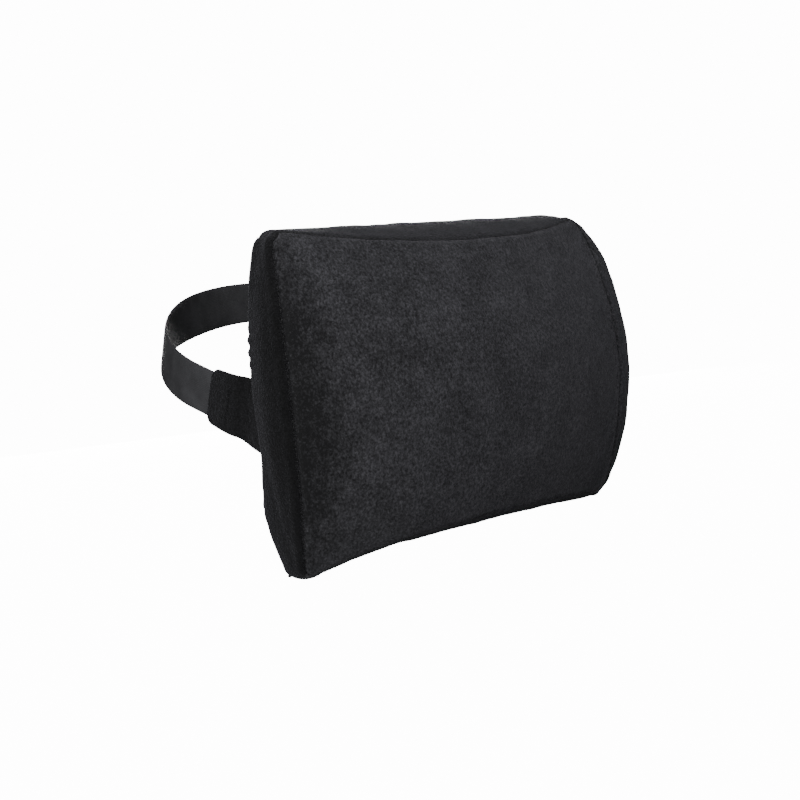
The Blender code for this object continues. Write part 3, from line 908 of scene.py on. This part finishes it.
def flat_cloth(name, x_range, z_range, y_at, thick, finish, steps=(120, 6)):
    """A thin strip of cloth lying near the back, with its thickness and a slight wave."""
    xs, zs = np.linspace(*x_range, steps[0] + 1), np.linspace(*z_range, steps[1] + 1)
    points, faces = [], []
    for layer in (0, 1):
        for x in xs:
            for z in zs:
                points.append((x, y_at(x, z) - layer * thick, z))
    rows, size = steps[1] + 1, (steps[0] + 1) * (steps[1] + 1)
    for i in range(steps[0]):
        for j in range(steps[1]):
            a = i * rows + j
            quad = (a, a + 1, a + rows + 1, a + rows)
            faces.append(quad)
            faces.append(tuple(size + k for k in quad[::-1]))
    rim = [i * rows for i in range(steps[0] + 1)] + [steps[0] * rows + j for j in range(1, rows)]
    rim += [i * rows + rows - 1 for i in range(steps[0] - 1, -1, -1)] + list(range(rows - 2, 0, -1))
    for a, b in zip(rim, rim[1:] + rim[:1]):
        faces.append((a, b, size + b, size + a))
    return mesh_object(name, points, faces, (finish,))


# Strap and tabs: x across, reach back in the loop's tilted plane, side across the webbing


def eased(value, start, end):
    share = min(1.0, max(0.0, (value - start) / (end - start)))
    return share * share * (3 - 2 * share)


def loop_point(x, reach, side, out=(-1.0, 0.0)):
    """A place on the loop, whose band leans outwards along out but stands upright where it is sewn in."""
    lean = STRAP_LEAN * eased(x, -0.135, -0.040) * eased(reach, 0.030, 0.090)
    x += out[0] * side * math.sin(lean)
    reach += out[1] * side * math.sin(lean)
    side *= math.cos(lean)
    return np.array(
        [
            x,
            reach * math.cos(STRAP_TILT) - side * math.sin(STRAP_TILT),
            STRAP_HEIGHT + reach * math.sin(STRAP_TILT) + side * math.cos(STRAP_TILT),
        ]
    )


def smooth_route(corners, steps, rounds=4):
    """A route through (x, reach) corners with its bends softened, evenly spaced."""
    line = np.array(corners, float)
    for _ in range(rounds):
        cut = np.stack([0.75 * line[:-1] + 0.25 * line[1:], 0.25 * line[:-1] + 0.75 * line[1:]], axis=1)
        line = np.concatenate([line[:1], cut.reshape(-1, 2), line[-1:]])
    length = np.concatenate([[0], np.cumsum(np.linalg.norm(np.diff(line, axis=0), axis=1))])
    at = np.linspace(0, length[-1], steps + 1)
    return np.stack([np.interp(at, length, line[:, i]) for i in range(2)], axis=1), at


def band(name, route, run, half_width, thick, finish, across=20, relief=None, rise=0.0):
    """A band of cloth along a route: half_width(run) is its half width there, and its edges round off."""
    tangent = np.gradient(route, axis=0)
    tangent /= np.linalg.norm(tangent, axis=1)[:, None]
    normal = np.stack([-tangent[:, 1], tangent[:, 0]], axis=1)
    share = np.sin(np.linspace(-1, 1, across + 1) * math.pi / 2)
    fat = np.maximum(0.10, np.sqrt(1 - np.abs(share) ** 9))
    points, faces, uvs = [], [], []
    ring = 2 * (across + 1)
    for place, out, along in zip(route, normal, run):
        half = half_width(along)
        for face in (1, -1):
            order = range(across + 1) if face > 0 else range(across, -1, -1)
            for j in order:
                lift = relief(along, share[j], face) if relief else 0.0
                x, reach = place + out * (face * thick / 2 * fat[j] + face * lift)
                up = rise * eased(along, 0.006, 0.020)
                points.append(loop_point(x, reach, share[j] * half + up, -out))
                uvs.append(((share[j] + 1) / 2, along))
    for i in range(len(route) - 1):
        for k in range(ring):
            m = (k + 1) % ring
            faces.append((i * ring + k, i * ring + m, (i + 1) * ring + m, (i + 1) * ring + k))
    for end in (0, len(route) - 1):
        for j in range(across):
            a, b = end * ring + j, end * ring + j + 1
            c, d = end * ring + ring - 2 - j, end * ring + ring - 1 - j
            faces.append((a, b, c, d) if end == 0 else (d, c, b, a))
    made = mesh_object(name, points, faces, (finish,))
    layer = made.data.uv_layers.new(name="along")
    for loop in made.data.loops:
        layer.data[loop.index].uv = uvs[loop.vertex_index]
    form = bmesh.new()
    form.from_mesh(made.data)
    bmesh.ops.recalc_face_normals(form, faces=form.faces)
    form.to_mesh(made.data)
    form.free()
    return made


def strap_route(steps=260):
    corners = [(HALF_SPAN, 0.0155), (HALF_SPAN, STRAP_LEG - 0.012)]
    for i in range(61):
        turn = math.pi * i / 60
        x = math.copysign(abs(math.cos(turn)) ** BEND_POWER, math.cos(turn))
        corners.append((HALF_SPAN * x, STRAP_LEG + STRAP_BEND * abs(math.sin(turn)) ** BEND_POWER))
    corners += [(-HALF_SPAN, STRAP_LEG - 0.012), (-HALF_SPAN, 0.0172)]
    return smooth_route(corners, steps, 3)


def tab_end(length, end_half, root_half, corner):
    """Half the width of a tab: it tapers to its free end, which has rounded corners."""

    def half(run):
        left = length - run
        half_here = root_half + (end_half - root_half) * run / length
        if left < corner:
            return half_here - corner + math.sqrt(max(0.0, corner ** 2 - (corner - left) ** 2))
        return half_here

    return half


def plush_relief(along, across, face):
    if abs(across) > 0.985:
        return 0.0
    rim = math.exp(-(((1 - abs(across)) / 0.20) ** 2))
    grain = noise.noise(Vector((along * 240, across * 4.0, face * 3.0))) * 0.00022
    return grain + 0.00035 * rim - 0.00030 * math.exp(-((((1 - abs(across)) - 0.20) / 0.07) ** 2))


def zigzag(name, x, reach_span, half, count, radius, finish, outward):
    """A bar tack: dense zig-zag thread across a band."""
    corners = []
    for i in range(count + 1):
        side = -half + 2 * half * i / count
        corners.append(loop_point(x, reach_span[i % 2], side))
    curve = bpy.data.curves.new(name, "CURVE")
    curve.dimensions = "3D"
    line = curve.splines.new("POLY")
    line.points.add(len(corners) - 1)
    for point, corner in zip(line.points, corners):
        point.co = (corner[0] + outward * 0.0, corner[1], corner[2], 1)
    curve.bevel_depth = radius
    curve.bevel_resolution = 2
    thing = bpy.data.objects.new(name, curve)
    bpy.context.scene.collection.objects.link(thing)
    apply_modifiers_curve(thing)
    made = bpy.data.objects[name]
    made.data.materials.append(finish)
    made.data.shade_smooth()
    return made


def apply_modifiers_curve(thing):
    name, curve = thing.name, thing.data
    graph = bpy.context.evaluated_depsgraph_get()
    mesh = bpy.data.meshes.new_from_object(thing.evaluated_get(graph), depsgraph=graph)
    bpy.data.objects.remove(thing, do_unlink=True)
    bpy.data.curves.remove(curve)
    made = bpy.data.objects.new(name, mesh)
    bpy.context.scene.collection.objects.link(made)
    made.data.materials.clear()
    return made


def fastener(name, x, reaches, half, face, finish, hooked):
    """A hook or loop patch: a thin base with rows of hooks, or a mat of small loops."""
    base_thick = 0.0004
    points, faces = [], []

    def block(x0, x1, r0, r1, s0, s1):
        start = len(points)
        for px in (x0, x1):
            for r in (r0, r1):
                for s in (s0, s1):
                    points.append(loop_point(px, r, s))
        for quad in ((0, 1, 3, 2), (4, 6, 7, 5), (0, 4, 5, 1), (2, 3, 7, 6), (0, 2, 6, 4), (1, 5, 7, 3)):
            faces.append(tuple(start + i for i in quad))

    rows, columns = 14, 18
    for i in range(rows):
        r0 = reaches[0] + (reaches[1] - reaches[0]) * i / rows
        r1 = reaches[0] + (reaches[1] - reaches[0]) * (i + 1) / rows
        block(x, x + face * base_thick, r0, r1, -half, half)
    for i in range(rows):
        for j in range(columns):
            r = reaches[0] + (reaches[1] - reaches[0]) * (i + 0.5) / rows
            s = -half + 2 * half * (j + 0.5 + 0.25 * (i % 2)) / (columns + 0.5)
            stem = x + face * base_thick
            tall = 0.00042
            block(stem, stem + face * tall, r - 0.00014, r + 0.00014, s - 0.00010, s + 0.00010)
            if hooked:
                block(stem + face * tall * 0.7, stem + face * tall, r, r + 0.00042, s - 0.00010, s + 0.00010)
            else:
                block(stem + face * tall * 0.6, stem + face * tall, r - 0.0004, r + 0.0004, s, s + 0.00028)
    made = mesh_object(name, points, faces, (finish,), smooth=False)
    form = bmesh.new()
    form.from_mesh(made.data)
    bmesh.ops.recalc_face_normals(form, faces=form.faces)
    form.to_mesh(made.data)
    form.free()
    return made


def beside_zip(side):
    """Tells which faces lie above the zip for side 1, below it for side -1, or anywhere for side 0."""
    return lambda centre: side == 0 or side * (centre.z - ZIP_HEIGHT) > 0


def cut_area(cover, panel, side):
    """Area of a panel and its seam allowances."""
    piece = cut_panel(cover, panel, "pattern", None, keep=beside_zip(side))
    area = sum(face.area for face in piece.data.polygons)
    bpy.data.objects.remove(piece, do_unlink=True)
    return area


# The cushion

# Each panel: its name, CAD node, number, side of the zip, finish, slot, and the greatest width and
# length of its cut, seam to seam on the form with the seam allowances added
PANELS = (
    ("front_panel", "cover_front", 0, 0, PLUSH, "plush", (0.291, 0.204)),
    # the top gusset's plush is painted darker as shade
    ("top_gusset", "cover_gusset_top", 1, 0, PLUSH_TOP_SHADED, "plush", (0.280, 0.051)),
    ("right_gusset", "cover_gusset_right", 2, 0, PLUSH, "plush", (0.194, 0.067)),
    ("bottom_gusset", "cover_gusset_bottom", 3, 0, PLUSH, "plush", (0.285, 0.048)),
    # the left gusset's plush is painted darker as shade
    ("left_gusset", "cover_gusset_left", 4, 0, PLUSH_SIDE_SHADED, "plush", (0.202, 0.037)),
    ("back_upper", "cover_back_upper", 5, 1, KNIT, "back_knit", (0.311, 0.160)),
    ("back_lower", "cover_back_lower", 5, -1, KNIT, "back_knit", (0.300, 0.040)),
)

cover = sewn_form()
pattern = {name: cut_area(cover, panel, side) for name, _, panel, side, _, _, _ in PANELS}
simulate(cover)
inner = points_of(cover)
inner_normals = np.array([v.normal for v in cover.data.vertices], float)
core_places = inner - inner_normals * 0.0042
pocket = np.clip((0.136 - np.abs(core_places[:, 0])) / 0.008, 0, 1) * np.clip(
    (0.030 - np.abs(core_places[:, 2] - ZIP_HEIGHT)) / 0.008, 0, 1
)
core_places[:, 1] -= 0.0045 * pocket * (core_places[:, 1] > -0.008)
core = mesh_object("foam_block", core_places, [tuple(p.vertices) for p in cover.data.polygons], (FOAM,))
subdivide(core, 1)
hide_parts("foam_core")
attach(core, "cushion")

found = dress(cover)
split_back(cover)
found = panels_at(cover)
places = points_of(cover)
normals = np.array([v.normal for v in cover.data.vertices], float)

for name, node, panel, side, finish, slot, flat in PANELS:
    piece = cut_panel(cover, panel, name, finish, keep=beside_zip(side))
    if side:
        part_back(piece, side)
    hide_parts(node)
    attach(piece, "cushion")

# Seams: stitches, and pile standing over the front seam at both ends
ring = [seam_lines(cover, found, 0, k) for k in (1, 2, 3, 4)]
hidden = {2: 0.0006}  # the lower seam's thread lies under the pile
runs = [
    (places[line] - hidden.get(k, 0) * normals[line], normals[line], 0.0031)
    for k, line in enumerate(ring)
    if line
]
front_stitches = stitches("front_seam_stitches", runs, 0.0023, 0.00032, -0.00012, THREAD)
back_ring = [seam_lines(cover, found, 5, k) for k in (1, 2, 3, 4)]
back_runs = [(places[line], normals[line], 0.0034) for line in back_ring if line]
back_stitches = stitches("back_seam_stitches", back_runs, 0.0024, 0.00030, -0.00005, THREAD)
corner_ring = [seam_lines(cover, found, a, b) for a, b in ((1, 2), (2, 3), (3, 4), (4, 1))]
corner_runs = [(places[line], normals[line], 0.0031) for line in corner_ring if line]
corner_stitches = stitches("corner_seam_stitches", corner_runs, 0.0022, 0.00026, 0.00035, THREAD)
tuft_runs = [(places[ring[k]], normals[ring[k]], s) for k in (1, 3) for s in (1, -1) if ring[k]]
# painted shade: the tufts over both end seams take the left gusset's plush, darkened for the shade on that end
end_tufts = pile_tufts("end_seam_pile", tuft_runs, 9000, 0.0013, 0.0023, PLUSH_SIDE_SHADED)
tuft_runs = [(places[ring[k]], normals[ring[k]], s) for k in (0, 2) for s in (1, -1) if ring[k]]
edge_tufts = pile_tufts("edge_seam_pile", tuft_runs, 5000, 0.0009, 0.0012, PLUSH)
for piece, slot in (
    (front_stitches, "thread"),
    (back_stitches, "thread"),
    (corner_stitches, "thread"),
    (end_tufts, "plush"),
    (edge_tufts, "plush"),
):
    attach(piece, "cushion")
bpy.data.objects.remove(cover, do_unlink=True)

# Zip: cloth tapes and coils; the slider, its pull and the stops keep their CAD shapes
for name, node, side in (("upper_tape", "zip_tape_upper", 1), ("lower_tape", "zip_tape_lower", -1)):
    inner_edge = ZIP_HEIGHT + side * 0.00025
    outer_edge = ZIP_HEIGHT + side * 0.012
    strip = flat_cloth(
        name,
        (-ZIP_HALF - 0.004, ZIP_HALF + 0.004),
        (inner_edge, outer_edge),
        lambda x, z: TAPE_FACE - 0.00004 + 0.00005 * math.sin(x * 260) - 0.00012 * abs(z - ZIP_HEIGHT) / 0.012,
        0.0005,
        TAPE,
    )
    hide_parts(node)
    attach(strip, "cushion")
for name, node, side in (("upper_coil", "zip_coil_upper", 1), ("lower_coil", "zip_coil_lower", -1)):
    teeth = zip_teeth(name, side)
    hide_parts(node)
    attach(teeth, "cushion")
for node in ("zip_slider", "zip_pull", "zip_top_stop_upper", "zip_top_stop_lower", "zip_bottom_stop"):
    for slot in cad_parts[node].material_slots:
        slot.material = METAL

low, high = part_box("care_label")
label = flat_cloth(
    "blank_label",
    (low[0], high[0]),
    (low[2], high[2]),
    lambda x, z: high[1] - 0.00005 - 0.0002 * math.sin((z - low[2]) * 160) ** 2,
    0.0003,
    LABEL,
    (24, 12),
)
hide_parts("care_label")
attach(label, "cushion")

# Strap
route, run = strap_route()
webbing = band(
    "elastic_strap",
    route,
    run,
    lambda along: STRAP_WIDTH / 2 + 0.00012 * math.sin(along * 46),
    STRAP_THICK,
    ELASTIC,
    across=28,
)
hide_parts("strap_webbing")
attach(webbing, "strap")

outside = HALF_SPAN + STRAP_THICK / 2 + 0.0003 + TAB_THICK / 2
route, run = smooth_route(
    [(HALF_SPAN, -0.002), (HALF_SPAN, 0.0080), (outside, 0.0150), (outside, TAB_RIGHT_LENGTH)], 60
)
# the tab's plush is painted darker as shade
right_tab = band(
    "right_tab", route, run, tab_end(run[-1], 0.0160, 0.0172, 0.004), TAB_THICK, PLUSH_TAB_SHADED, 24, plush_relief
)
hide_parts("tab_right")
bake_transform(right_tab)
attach(right_tab, "cushion")

outside = -HALF_SPAN - 0.0007 - 0.0003 - 0.0010 - 0.0003 - 0.0012 - 0.0003 - TAB_THICK / 2
route, run = smooth_route(
    [(-HALF_SPAN, -0.008), (-HALF_SPAN, 0.0080), (outside, 0.0165), (outside, TAB_LENGTH - 0.0006)], 80
)
# the tab's plush is painted darker as shade
left_tab = band(
    "left_tab",
    route,
    run,
    tab_end(run[-1], 0.0165, 0.0198, 0.0050),
    TAB_THICK,
    PLUSH_TAB_SHADED,
    24,
    plush_relief,
    TAB_RISE,
)
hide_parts("tab_left")
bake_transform(left_tab)
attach(left_tab, "cushion")

loops = fastener("loop_patch", -HALF_SPAN - 0.0010, (0.0180, 0.0345), 0.0115, -1, HOOK, False)
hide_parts("strap_loop_patch")
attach(loops, "strap")
hooks = fastener("hook_patch", outside + TAB_THICK / 2 + 0.0001, (0.0175, 0.0345), 0.0115, 1, HOOK, True)
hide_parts("tab_hook_patch")
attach(hooks, "tab")

tack = zigzag(
    "strap_tack", HALF_SPAN + 0.0007 + 0.0003 + TAB_THICK + 0.00025, (0.0224, 0.0242), 0.0105, 40, 0.00022, THREAD, 1
)
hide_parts("strap_bar_tack")
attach(tack, "strap")
# the tab's tack takes the tabs' plush, painted darker as shade
tack = zigzag("tab_tack", outside - TAB_THICK / 2 + 0.00002, (0.0180, 0.0198), 0.0115, 42, 0.00012, PLUSH_TAB_SHADED, -1)
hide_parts("tab_bar_tack")
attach(tack, "tab")

# Stage, light and camera

FLOOR = -0.1025
floor = mesh_object("floor", [(-6, -6, FLOOR), (6, -6, FLOOR), (6, 6, FLOOR), (-6, 6, FLOOR)], [(0, 1, 2, 3)])
paper = bpy.data.materials.new("paper")
paper.use_nodes = True
tree = paper.node_tree
shader = tree.nodes["Principled BSDF"]
shader.inputs["Base Color"].default_value = (0.12, 0.12, 0.12, 1)
shader.inputs["Roughness"].default_value = 0.95
shader.inputs["Emission Color"].default_value = (1, 1, 1, 1)
seen = tree.nodes.new("ShaderNodeLightPath").outputs["Is Camera Ray"]
glow = tree.nodes.new("ShaderNodeMath")
glow.operation = "MULTIPLY"
glow.inputs[1].default_value = 14.0
tree.links.new(seen, glow.inputs[0])
tree.links.new(glow.outputs[0], shader.inputs["Emission Strength"])
floor.data.materials.append(paper)

world = bpy.data.worlds.new("studio")
world.use_nodes = True
tree = world.node_tree
sky = tree.nodes["Background"]
sky.inputs["Color"].default_value = (1, 1, 1, 1)
seen = tree.nodes.new("ShaderNodeLightPath").outputs["Is Camera Ray"]
glow = tree.nodes.new("ShaderNodeMapRange")
glow.inputs["To Min"].default_value = 0.06
glow.inputs["To Max"].default_value = 14.0
tree.links.new(seen, glow.inputs["Value"])
tree.links.new(glow.outputs[0], sky.inputs["Strength"])
bpy.context.scene.world = world


def lamp(name, place, target, size, watts, tint=(1, 1, 1)):
    data = bpy.data.lights.new(name, "AREA")
    data.shape = "RECTANGLE"
    data.size, data.size_y = size
    data.energy = watts
    data.color = tint
    thing = bpy.data.objects.new(name, data)
    bpy.context.scene.collection.objects.link(thing)
    thing.location = place
    thing.rotation_euler = (Vector(target) - Vector(place)).to_track_quat("-Z", "Y").to_euler()
    return thing


lamp("key", (-1.45, -0.95, 0.40), (0, 0, 0), (1.3, 1.0), 56)
lamp("top", (-0.10, -0.35, 1.40), (0, 0, 0), (1.2, 0.9), 9)
lamp("back", (1.25, 1.40, 0.15), (0, 0, 0), (1.3, 1.0), 70)

camera_place = Vector((-0.7311, -0.6887, 0.0303))
yaw, pitch, roll = math.radians(-45.18), math.radians(-2.37), math.radians(-7.10)
ahead = Vector((-math.sin(yaw) * math.cos(pitch), math.cos(yaw) * math.cos(pitch), math.sin(pitch)))
level = Vector((math.cos(yaw), math.sin(yaw), 0))
upright = level.cross(ahead)
right = level * math.cos(roll) + upright * math.sin(roll)
up = upright * math.cos(roll) - level * math.sin(roll)
lens = bpy.data.cameras.new("camera")
lens.lens, lens.sensor_width = 72, 36
camera = bpy.data.objects.new("camera", lens)
bpy.context.scene.collection.objects.link(camera)
camera.matrix_world = Matrix(
    (
        (right.x, up.x, -ahead.x, camera_place.x),
        (right.y, up.y, -ahead.y, camera_place.y),
        (right.z, up.z, -ahead.z, camera_place.z),
        (0, 0, 0, 1),
    )
)
bpy.context.scene.camera = camera
